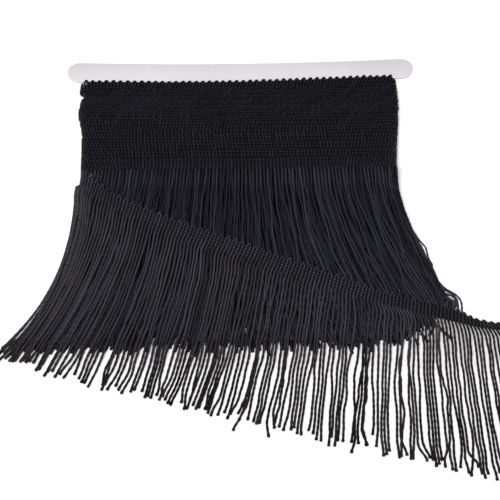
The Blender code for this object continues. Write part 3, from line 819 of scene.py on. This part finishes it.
def heap_surface(y):
    """The height at which the loose end lies on the heap at y, or on the surface past its tips."""
    least = rows_of(FRINGE_LINES, "y", "back_top", y) + LAYER_GAP + LEAST_LOCK_HEIGHT
    inner = np.maximum(least, rows_of(FRINGE_LINES, "y", "inner_top", y))
    on_heap = inner + 2.0 * LAYER_GAP + STRAND_HEIGHT
    end = FRINGE_LINES[-1].y
    start = FRINGE_LINES[-2].y
    return on_heap * np.clip((y - end) / (start - end), 0.0, 1.0)


# The lengths and sizes of the waves in which a strand wanders from side to side.
WANDER_WAVES = ((120.0, 1.0), (62.0, 0.6), (33.0, 0.34), (17.0, 0.18), (9.0, 0.08))
WANDER_START = 25.0  # the distance from its root at which it wanders fully
WANDER_SPEEDS = (0.8, 1.25)
WANDER_SIZE_SPREAD = 0.4


def wander(rng, distance, strength, group=None):
    """A smooth sideways wander for each strand, by the distance from its root. It is none at the root.

    Strands of one group wander together.
    """
    if group is None:
        group = np.arange(len(distance))
    count = group[-1] + 1
    total = np.zeros(distance.shape)
    for length, size in WANDER_WAVES:
        phase = rng.uniform(0.0, 2.0 * np.pi, (count, 1))[group]
        speed = (rng.uniform(*WANDER_SPEEDS, (count, 1)) / length)[group]
        wave = np.sin(2.0 * np.pi * speed * distance + phase) - np.sin(phase)
        total += size * rng.normal(1.0, WANDER_SIZE_SPREAD, (count, 1))[group] * wave
    return strength * total * np.minimum(1.0, distance / WANDER_START)


# The waves that draw neighbouring strands together: size, length across, length down and phase.
BUNCH_WAVES = ((0.9, 2.1, 33.0, 0.0), (0.9, 4.3, -23.0, 1.0), (1.1, 9.7, 41.0, 2.2))
BUNCH_STRENGTH = 0.55
BUNCH_START = 60.0  # the distance from the roots at which they do so fully


def bunching(x, y, distance, phase):
    """Draws neighbouring strands together in some places and apart in others."""
    field = 0.0
    for number, (size, across, down, own_phase) in enumerate(BUNCH_WAVES, 1):
        field = field + size * np.sin(x / across + y / down + own_phase + number * phase)
    return BUNCH_STRENGTH * field * soft_step(distance / BUNCH_START)


SHADE_SPREAD = 0.2
WARMTH_SPREAD = 0.05
LEAST_TINT = 0.4
MOST_TINT = 1.9


def strand_tints(rng, count):
    """A tint for each strand: some are lighter than others, and some warmer."""
    shade = 1.0 + SHADE_SPREAD * rng.normal(size=(count, 1))
    warm = WARMTH_SPREAD * rng.normal(size=(count, 1))
    tints = shade * np.hstack([1.0 + warm, np.ones((count, 1)), 1.0 - warm])
    return np.clip(tints, LEAST_TINT, MOST_TINT)[:, None]


KNOB = (1.08, 1.28, 1.1)


def knobbed(stations):
    """A strand's size along it: its end is a small knob."""
    size = np.ones(stations)
    size[-len(KNOB):] = KNOB
    return size


ROOT_DEPTH = 0.8  # the strands begin this far up inside the winding,
ROOT_SWELL = 0.25  # and are thicker there by this share of their size
ROOT_SWELL_LENGTH = 8.0
LEVEL_LENGTH = 1.0  # after this length they begin to come down from the winding,
DROP_LENGTH = 15.0  # and in this length they do
SIDE_WANDER = 0.6
HEIGHT_WANDER = 0.2
MOST_HEIGHT_WANDER = 0.4
TOP_HALF_WIDTH = 0.8
STRAND_HALF_HEIGHT = 0.66
# The strands under the top layer are made plain and wide: half their width, times how many lie in a layer.
UNDER_WIDTH = 106.0
# Painted shade: the strands under the top layer are painted darker by this share, for the shade that falls
# between the top strands.
UNDER_SHADE = 0.7


def strand_plies(rng, distance):
    """How far each strand's twist has come round, in radians by the distance from its root."""
    return rng.uniform(0.0, 2.0 * np.pi, (len(distance), 1)) - 2.0 * np.pi * distance / TWIST_PITCH


def strand_roots(layer):
    """Where a layer's strands begin along the winding's lower edge: the top ones from the cords there."""
    edge = FRINGE_LINES[0]
    if layer.count:
        return np.linspace(edge.left, edge.right, 2 * layer.count + 1)[1::2]
    starts = loop_starts(TURN_COUNT - 1)
    cords = np.sort(np.concatenate([starts - STRAND_PITCH / 2.0, starts + STRAND_PITCH / 2.0]))
    return cords[(cords > edge.left) & (cords < edge.right)]


def build_layer(layer, finish):
    """A layer of strands in the heap, from the winding's lower edge to their tips."""
    rng = np.random.default_rng(layer.seed)
    roots = strand_roots(layer)
    count = len(roots)
    stations = PLAIN_STATIONS if layer.count else FINE_STATIONS
    edge = FRINGE_LINES[0]
    lanes = np.where(roots < 0.0, roots / -edge.left, roots / edge.right)[:, None]
    tips = layer.tip_y + short_side(lanes) + rng.normal(0.0, layer.tip_spread, (count, 1))
    tips = np.minimum(tips, HIGHEST_TIP_Y)
    root_y = PACK_BOTTOM_Y + ROOT_DEPTH
    y = root_y + (tips - root_y) * np.linspace(0.0, 1.0, stations)
    distance = root_y - y
    lane = np.broadcast_to(lanes, y.shape)
    x = lane_x(lane, y)
    x = x + bunching(x, y, distance, layer.seed - 11.0) + wander(rng, distance, SIDE_WANDER)
    floor = STRAND_HEIGHT / 2.0
    z = floor + (heap_top(lane, y) - floor) * layer.level
    root_z = rows_of(PACK_SECTIONS, "y", "top", PACK_BOTTOM_Y) - CORE_INSET + RIB_LIFT
    root_z = floor + (root_z - floor) * layer.level
    z = z + (root_z - z) * (1.0 - soft_step((distance - LEVEL_LENGTH) / DROP_LENGTH))
    z = z + np.clip(wander(rng, distance, HEIGHT_WANDER), -MOST_HEIGHT_WANDER, MOST_HEIGHT_WANDER)
    path = np.stack([x, askew(x, y), np.maximum(z, floor)], axis=-1)
    swell = 1.0 + ROOT_SWELL * (1.0 - soft_step(distance / ROOT_SWELL_LENGTH))
    size = knobbed(stations) * swell
    half_height = STRAND_HALF_HEIGHT * size
    plies = strand_plies(rng, distance)
    tints = strand_tints(rng, count)
    pile = Pile()
    # The plain under strands carry the painted shade of UNDER_SHADE.
    if layer.count:
        add_tubes(pile, path, UNDER_WIDTH / count * size, half_height, PLAIN_SIDES, tints * UNDER_SHADE)
    else:
        add_tubes(pile, path, TOP_HALF_WIDTH * size, half_height, FINE_SIDES, tints, plies)
    pile.build(layer.name, finish, layer.name.split("_")[0] + "_fringe")


STRAY_STATION_PITCH = 1.2
STRAY_FLATNESS = 0.85  # a stray strand's height, as a share of its width
# Strands that have slipped out of the heap at its right edge, from their upper ends to their tips.
STRAY_STRANDS = table(
    "half_width points",
    (0.72, (
        (130, -91, 6), (135, -98, 3), (139.5, -103.5, 1.5), (140.5, -108.5, 1.2), (141.5, -113.5, 1),
        (143.5, -118, 1), (143.5, -124.5, 1), (147, -132, 1), (151.5, -138, 1), (156, -141.5, 1.5),
        (159.5, -145, 2.5), (162, -149.5, 3), (162.5, -154.5, 3), (162, -159.5, 4), (163, -164.5, 5),
    )),
    (0.8, (
        (130.5, -96, 5), (135, -102.5, 2), (137.5, -108.5, 1.2), (139, -113.5, 1), (141.5, -119.5, 1),
        (142.5, -123, 1), (145, -129.5, 1), (148, -135.5, 1), (152, -140.5, 2), (156, -144.5, 4),
        (158.5, -149, 5), (159.5, -153, 4), (159.5, -157, 4), (161, -162.5, 5),
    )),
    (1.0, (
        (130, -91.5, 5), (132, -94.5, 2.5), (133.9, -98, 1.5), (136.7, -104, 1.5), (138.4, -109.3, 1.2),
        (140, -114, 1), (142.2, -119.5, 1), (144.5, -126, 1), (146.5, -133.5, 1),
    )),
    (0.8, (
        (147.5, -134.5, 2), (148.5, -140.5, 3), (147.5, -147.5, 4.5), (147, -153.5, 5), (148, -158, 5),
        (150, -163, 6),
    )),
    (0.8, (
        (150, -163.5, 6), (147.5, -158, 6), (147.5, -152, 6), (150, -148.5, 6.5), (153.5, -150, 7),
        (155.5, -154, 6), (153.5, -159.5, 6), (151, -164.5, 6.5),
    )),
    (0.75, (
        (152, -164, 6.5), (151, -158.5, 7), (151, -153, 7.5), (153.5, -151, 8), (156.5, -152.5, 7),
        (155.5, -157, 6), (153.5, -163, 6),
    )),
    (0.75, (
        (156.5, -164, 5), (155.5, -160, 6.5), (157.5, -155, 6.5), (157.5, -149.5, 6), (154.5, -146.5, 5.5),
        (151, -144.5, 4),
    )),
    (1.15, (
        (143.5, -170.5, 5), (145.5, -172, 3), (148, -174.5, 1.6), (151, -177, 1), (154, -179.5, 0.9),
    )),
    (1.1, ((131, -176, 3), (133.5, -178, 1.4), (135, -180.5, 1), (136.5, -182, 0.9))),
    (1.0, ((125, -176, 3), (126.5, -179, 1.2), (128, -182, 0.9), (129, -184.5, 0.9))),
    (1.0, ((142.5, -168, 5), (140.5, -171.5, 2.4), (139, -174.5, 1.2), (137, -177, 0.9))),
    (0.8, ((124, -177.5, 2), (123, -181, 1), (122.5, -185, 0.9))),
)


def build_stray_strands(finish):
    rng = np.random.default_rng(500)
    pile = Pile()
    for strand in STRAY_STRANDS:
        curve = smooth_path(strand.points)
        lengths = lengths_along(curve)
        stations = max(10, int(lengths[-1] / STRAY_STATION_PITCH))
        at = np.linspace(0.0, lengths[-1], stations)
        path = np.stack([np.interp(at, lengths, column) for column in curve.T], axis=-1)[None]
        size = strand.half_width * knobbed(stations)
        plies = -2.0 * np.pi * at[None] / TWIST_PITCH
        add_tubes(pile, path, size, STRAY_FLATNESS * size, FINE_SIDES, strand_tints(rng, 1), plies)
    pile.build("stray_strands", finish, "front_fringe")


# ---- the loose end


def smooth_path(points):
    """A smooth curve through points of any number of values, as a table of its own points."""
    rows = np.array(points)
    rows = np.vstack([2 * rows[0] - rows[1], rows, 2 * rows[-1] - rows[-2]])
    curve = []
    for index in range(1, len(rows) - 2):
        p0, p1, p2, p3 = rows[index - 1 : index + 3]
        for step in range(PATH_SAMPLES):
            t = step / PATH_SAMPLES
            piece = 2 * p1 + (p2 - p0) * t
            piece = piece + (2 * p0 - 5 * p1 + 4 * p2 - p3) * t**2
            piece = piece + (3 * p1 - p0 - 3 * p2 + p3) * t**3
            curve.append(piece / 2)
    curve.append(rows[-2])
    return np.array(curve)


# How far the loose heading's cords lean along it for each millimetre from its lower edge, and its strands
# where they leave it, by the run along the heading.
LOOSE_LEANS = table(
    "run cord strand",
    (0.0, -0.15, -0.3),
    (8.0, -0.45, -0.5),
    (20.0, -0.6, -0.5),
    (40.0, -0.5, -0.42),
    (60.0, -0.26, -0.24),
    (90.0, -0.12, -0.12),
    (130.0, 0.02, 0.02),
    (165.0, 0.03, 0.03),
    (200.0, -0.03, -0.03),
    (235.0, -0.1, -0.25),
    (255.0, -0.1, -0.6),
    (280.0, -0.12, -0.95),
    (298.0, -0.12, -0.7),
    (310.0, -0.12, -0.5),
    (384.0, -0.12, -0.55),
)


LOOSE_BASE = 0.45  # the cords' base lies this far over the lower edge's curve


class LoosePath:
    """The loose heading's lower edge, as a curve that is read by the length along it."""

    def __init__(self):
        points = []
        for row in LOOSE_PATH:
            z = row.carried * float(heap_surface(row.y)) + row.raised
            points.append((row.x, row.y, z, row.normal_x, row.normal_y))
        self.curve = smooth_path(points)
        self.lengths = lengths_along(self.curve[:, :3])
        self.count = int(self.lengths[-1] / STRAND_PITCH)

    def read(self, at):
        return np.stack([np.interp(at, self.lengths, column) for column in self.curve.T], axis=-1)

    def frames(self, at):
        """Place, outward direction, strand direction and run direction at lengths along the edge."""
        at = np.asarray(at, float)
        here = self.read(at)
        last = self.lengths[-1]
        run = unit((self.read(np.minimum(at + 1.0, last)) - self.read(np.maximum(at - 1.0, 0.0)))[..., :3])
        normal = here[..., 3:5]
        up = np.sqrt(np.maximum(0.0, 1.0 - (normal**2).sum(axis=-1, keepdims=True)))
        normal = np.concatenate([normal, up], axis=-1)
        strand_way = unit(np.cross(run, normal))
        outward = np.cross(strand_way, run)
        return here[..., :3], outward, strand_way, run

    def move(self, run, distance, lift):
        """Maps the flat heading: run along it, distance from its scalloped edge, lift over its base."""
        run = run + rows_of(LOOSE_LEANS, "run", "cord", run) * (HEADING_WIDTH - distance)
        place, outward, strand_way, along = self.frames(run)
        beyond = run - np.clip(run, 0.0, self.lengths[-1])
        points = place + along * beyond[:, None]
        points = points + strand_way * (distance - HEADING_WIDTH)[:, None]
        return points + outward * (lift + LOOSE_BASE)[:, None]


BAND_PITCH = 1.35  # the distance between the band's stations
BAND_LINES = 7  # lines of points on each of its sides
BAND_TOP = 1.7  # the band's upper edge, from the scalloped edge
BAND_INSET = 0.2  # its other edges are this far inside the heading's
BAND_HALF_THICKNESS = 0.3
STITCH_INSET = 0.4  # the chain stitches' ends are this far inside the heading's


def build_loose_heading(path, band_finish, cord_finish):
    """The loose heading's cords and chain stitches, and the band that they lie on."""
    rng = np.random.default_rng(300)
    length = path.lengths[-1]
    starts = (2.0 * np.arange(path.count // 2) + 1.0) * STRAND_PITCH
    runs = (STITCH_INSET, length - STITCH_INSET)
    pile = Pile()
    made_as = (HEADING_WIDTH, LOOSE_TINTS, rng, path.move)
    add_heading_cords(pile, starts, *made_as, per_course=4.0, sides=8)
    add_chain_stitches(pile, runs, 0.0, *made_as, per_cord=6, lights=LOOSE_STITCH_LIGHTS)
    cords = pile.build("loose_heading_cords", cord_finish, "loose_heading")

    run = np.linspace(BAND_INSET, length - BAND_INSET, int(length / BAND_PITCH))
    distances = np.linspace(BAND_TOP, HEADING_WIDTH - BAND_INSET, BAND_LINES)
    lift = np.full(len(run), BAND_HALF_THICKNESS)
    lines = [path.move(run, np.full(len(run), distance), lift) for distance in distances]
    lines += [path.move(run, np.full(len(run), distance), -lift) for distance in distances[::-1]]
    pile = Pile()
    add_rings(pile, np.stack(lines, axis=1), HIDDEN_TINT)
    return pile.build("loose_heading_band", band_finish, "loose_heading"), cords


# The strands start out in their cords' direction.
ROOT_OVERLAP = 1.5  # the length by which they run up into the cords
FIRST_RUN = 5.0  # a strand's way to the side is measured from this far below the heading
ROOT_RUN = 16.0  # the length in which a strand bends from its cord's direction to its own
MOST_SLOPE = 1.2
LEAST_WAY_DOWN = 0.3
LOOSE_DROP_LENGTH = 31.0  # the length in which it comes down to what it lies on
SIDE_END_X = -116.0  # strands that leave the heading to the left of this hang down the winding's side

# Neighbouring strands lie in groups: small ones in their upper part, and others further down.
GROUP_SIZES = (1, 2, 2, 3, 3, 4, 5)
GROUP_PULL = 0.26  # share of the way to its group's middle that a strand goes
GROUP_START = 0.45  # the lower groups begin at this share of the strands' length,
GROUP_RAMP = 0.3  # and are complete after this much of it
UPPER_PULL = 0.7  # the upper groups' pull, as a share of the lower ones',
UPPER_PLACE = 0.3  # where it is strongest,
UPPER_SPREAD = 0.16  # and how far it reaches
LEAST_SPACING = 2.1
APART_ROUNDS = 14
GROUP_LIFT = 0.35  # every second strand of a group lies this much over its neighbours

GROUP_WANDER = 0.42
OWN_WANDER = 0.3
STRAY_WANDER = 0.9
STRAY_SHARE = 0.1  # share of the loose strands that wander much more
CALM_AT_END = 0.3  # the leftmost ones' wander, as a share of the others',
CALM_RUN = 40.0  # and the length along the heading in which it grows to theirs
LIFT_WANDER = 0.18
TIP_UNEVENNESS = 2.4  # how unevenly long the strands are,
TIP_CURL = 2.4  # and how far their tips curl to the side
CURL_START = 0.84
PAST_TIP = 1.1  # a long strand goes on to the side up to this share of the way

ROOT_WIDTH = 0.77  # half the loose strands' width at their roots, and at their tips
TIP_WIDTH = 0.92
STRAND_FLATNESS = 0.84  # a loose strand's height, as a share of its width
FLOOR_SHADE = (0.46, 0.37, 0.36)  # painted shade: strands on the floor are painted darker and a little redder, by this share of the others' tint
FLOOR_SHADE_Y = -176.0  # from here down they lie on it and are painted darker,
FLOOR_SHADE_FADE = 20.0
FLOOR_END_RUN = 300.0  # and from this run on they are painted darker all the way from the heading
FLOOR_END_FADE = 15.0


def strand_groups(rng, count):
    """Gathers neighbouring strands: the group of each one, and the way to the group's middle."""
    group = np.zeros(count, int)
    pull = np.zeros((count, 1))
    first = 0
    while first < count:
        members = np.arange(first, min(count, first + int(rng.choice(GROUP_SIZES))))
        group[members] = group[first - 1] + 1 if first else 0
        pull[members, 0] = members.mean() - members
        first = members[-1] + 1
    return group, pull * STRAND_PITCH * GROUP_PULL


def kept_apart(x):
    """Pushes neighbouring strands apart, so that those that are drawn together lie side by side."""
    for _ in range(APART_ROUNDS):
        push = np.maximum(0.0, LEAST_SPACING - np.diff(x, axis=0)) / 2.0
        x[:-1] -= push
        x[1:] += push
    return x


def strand_bodies(rng, at, start_x, share, step, distance):
    """x along the loose strands, how much they rise over their neighbours, and which of them stray."""
    count = len(at)
    is_stray = rng.random(count) < STRAY_SHARE
    own_wander = np.where(is_stray, STRAY_WANDER, OWN_WANDER)[:, None]
    tip_x = rows_of(LOOSE_TIPS, "run", "x", at)[:, None]
    curve = rows_of(LOOSE_TIPS, "run", "curve", at)[:, None]
    x = start_x + (tip_x - start_x) * share**curve
    _, upper_pull = strand_groups(rng, count)
    group, pull = strand_groups(rng, count)
    gathered = soft_step((share - GROUP_START) / GROUP_RAMP)
    upper = UPPER_PULL * np.exp(-(((share - UPPER_PLACE) / UPPER_SPREAD) ** 2))
    x = x + upper_pull * upper + pull * gathered
    calm = CALM_AT_END + (1.0 - CALM_AT_END) * soft_step(at[:, None] / CALM_RUN)
    x = x + calm * (wander(rng, distance, GROUP_WANDER, group) + wander(rng, distance, own_wander))
    curl = soft_step((step - CURL_START) / (1.0 - CURL_START)) ** 2
    x = x + rng.normal(0.0, TIP_CURL, (count, 1)) * curl
    rise = GROUP_LIFT * gathered * (np.arange(count) % 2)[:, None] * (np.abs(pull) > 0.0)
    return x, rise, is_stray


def strand_heights(place, root_z, y, distance):
    """The loose strands come down from the heading to the heap, or to the surface that all lies on."""
    carried = np.clip((place[:, 2:3] - 1.0) / heap_surface(place[:, 1:2]), 0.0, 1.0)
    carried = np.where(place[:, :1] <= SIDE_END_X, carried, 1.0)
    resting = heap_surface(y) * carried + STRAND_HEIGHT / 2.0
    down = soft_step(distance / LOOSE_DROP_LENGTH)
    return np.maximum(root_z * (1.0 - down) + resting * down, resting)


def loose_strand_paths(path, rng):
    """The loose strands' paths, the distance from their roots, and the runs at which they begin."""
    at = (np.arange(path.count) + 0.5) * STRAND_PITCH
    place, outward, way, along = path.frames(at)
    way = unit(way - along * rows_of(LOOSE_LEANS, "run", "strand", at)[:, None])
    root = place + outward * (LOOSE_BASE + RIB_LIFT) - way * ROOT_OVERLAP
    root_x, root_y, root_z = root.T[..., None]
    start_x, start_y, _ = (place + way * FIRST_RUN).T[..., None]
    mean_tip_y = rows_of(LOOSE_TIPS, "run", "y", at)[:, None]
    tip_y = mean_tip_y + rng.normal(0.0, TIP_UNEVENNESS, (path.count, 1))
    step = np.linspace(0.0, 1.0, FINE_STATIONS)[None]
    y = root_y + (tip_y - root_y) * step
    distance = root_y - y
    share = np.clip((y - start_y) / (mean_tip_y - start_y), 0.0, PAST_TIP)
    body, rise, is_stray = strand_bodies(rng, at, start_x, share, step, distance)
    slope = np.clip(way[:, :1] / np.minimum(way[:, 1:2], -LEAST_WAY_DOWN), -MOST_SLOPE, MOST_SLOPE)
    settled = soft_step(distance / ROOT_RUN)
    x = (root_x - slope * distance) * (1.0 - settled) + body * settled
    x[~is_stray] = kept_apart(x[~is_stray])
    z = strand_heights(place, root_z, y, distance) + np.abs(wander(rng, distance, LIFT_WANDER)) + rise
    return np.stack([x, y, z], axis=-1), distance, at


def build_loose_strands(path, finish):
    """The strands that hang from the loose heading, in two pieces."""
    rng = np.random.default_rng(400)
    paths, distance, at = loose_strand_paths(path, rng)
    count = len(paths)
    plies = strand_plies(rng, distance)
    # Painted shade: the strands are painted darker where they lie on the floor, and at the heading's right
    # end all along.
    on_floor = soft_step((FLOOR_SHADE_Y - paths[:, :, 1]) / FLOOR_SHADE_FADE)
    at_end = soft_step((at - FLOOR_END_RUN) / FLOOR_END_FADE)[:, None]
    shade = 1.0 + (np.array(FLOOR_SHADE) - 1.0) * np.maximum(on_floor, at_end)[..., None]
    tints = strand_tints(rng, count) * shade
    half_width = np.linspace(ROOT_WIDTH, TIP_WIDTH, FINE_STATIONS) * knobbed(FINE_STATIONS)
    half_height = STRAND_FLATNESS * half_width
    paths[:, :, 2] += np.maximum(half_height - STRAND_HEIGHT / 2.0, 0.0)
    made = []
    is_left = at < at[-1] / 2.0
    for name, chosen in (("loose_strands_left", is_left), ("loose_strands_right", ~is_left)):
        pile = Pile()
        add_tubes(pile, paths[chosen], half_width, half_height, FINE_SIDES, tints[chosen], plies[chosen])
        made.append(pile.build(name, finish, "loose_fringe"))
    return made


# ---- floor, light and camera

FLOOR_BACK = (0.93, 0.92, 0.93)
FLOOR_FRONT = (0.79, 0.775, 0.78)
FLOOR_BACK_Y = -0.17  # in metres, as the light's and the floor's other values
FLOOR_FRONT_Y = -0.2
FLOOR_HALF_SIZE = 6.0
FLOOR_Z = -0.0002
LIGHT_PLACE = Vector((-0.15, -0.95, 1.5))
LIGHT_TARGET = Vector((0.0, -0.1, 0.0))


def floor_material():
    """White, and painted a shade darker in front of the trim: painted shade."""
    nodes = Nodes("floor_white")
    split = nodes.node("ShaderNodeSeparateXYZ", {0: nodes.where()})
    before = nodes.math("SUBTRACT", FLOOR_BACK_Y, split.outputs["Y"])
    share = nodes.math("DIVIDE", before, FLOOR_BACK_Y - FLOOR_FRONT_Y)
    return nodes.surface(Base_Color=nodes.ramp(share, 0.0, 1.0, FLOOR_BACK, FLOOR_FRONT), Roughness=0.9)


def build_stage():
    mesh = bpy.data.meshes.new("floor")
    half = FLOOR_HALF_SIZE
    corners = ((-half, -half, 0.0), (half, -half, 0.0), (half, half, 0.0), (-half, half, 0.0))
    mesh.from_pydata(corners, [], [(0, 1, 2, 3)])
    mesh.materials.append(floor_material())
    floor = bpy.data.objects.new("floor", mesh)
    bpy.context.collection.objects.link(floor)
    floor.location.z = FLOOR_Z


def build_lights():
    world = bpy.data.worlds.new("studio")
    world.use_nodes = True
    background = world.node_tree.nodes["Background"]
    background.inputs["Color"].default_value = (1.0, 0.99, 1.0, 1.0)
    background.inputs["Strength"].default_value = 0.35
    bpy.context.scene.world = world
    lamp = bpy.data.lights.new("key", "AREA")
    lamp.shape = "SQUARE"
    lamp.size = 0.4
    lamp.energy = 34.0
    lamp.color = (1.0, 0.99, 0.99)
    key = bpy.data.objects.new("key", lamp)
    key.location = LIGHT_PLACE
    key.rotation_euler = (LIGHT_TARGET - LIGHT_PLACE).to_track_quat("-Z", "Y").to_euler()
    bpy.context.collection.objects.link(key)


def build_camera():
    data = bpy.data.cameras.new("camera")
    data.angle = math.radians(CAMERA_FIELD)
    data.clip_end = 20.0
    camera = bpy.data.objects.new("camera", data)
    rise = math.radians(CAMERA_ELEVATION)
    back = Vector((0.0, -math.cos(rise), math.sin(rise)))
    camera.location = (Vector(CAMERA_TARGET) + back * CAMERA_DISTANCE) * MM
    camera.rotation_euler = (math.radians(90.0 - CAMERA_ELEVATION), 0.0, 0.0)
    bpy.context.collection.objects.link(camera)
    bpy.context.scene.camera = camera


def main():
    bpy.context.scene.view_settings.view_transform = "Standard"
    build_camera()
    build_stage()
    build_lights()
    wound = yarn_material("wound_yarn", (0.0066, 0.0066, 0.0106), (0.0185, 0.018, 0.0275), 0.22)
    loose = yarn_material("loose_yarn", (0.014, 0.013, 0.016), (0.036, 0.0335, 0.041), 0.25)
    heading = yarn_material("heading_yarn", (0.0050, 0.0050, 0.0080), (0.0158, 0.0158, 0.0230), 0.2)
    shadow = shadow_material()
    build_card(card_material())
    build_core(shadow)
    build_turns(heading)
    for layer in HEAP_LAYERS:
        build_layer(layer, wound)
    build_stray_strands(loose)
    path = LoosePath()
    band, cords = build_loose_heading(path, shadow, heading)
    strands = build_loose_strands(path, loose)


main()
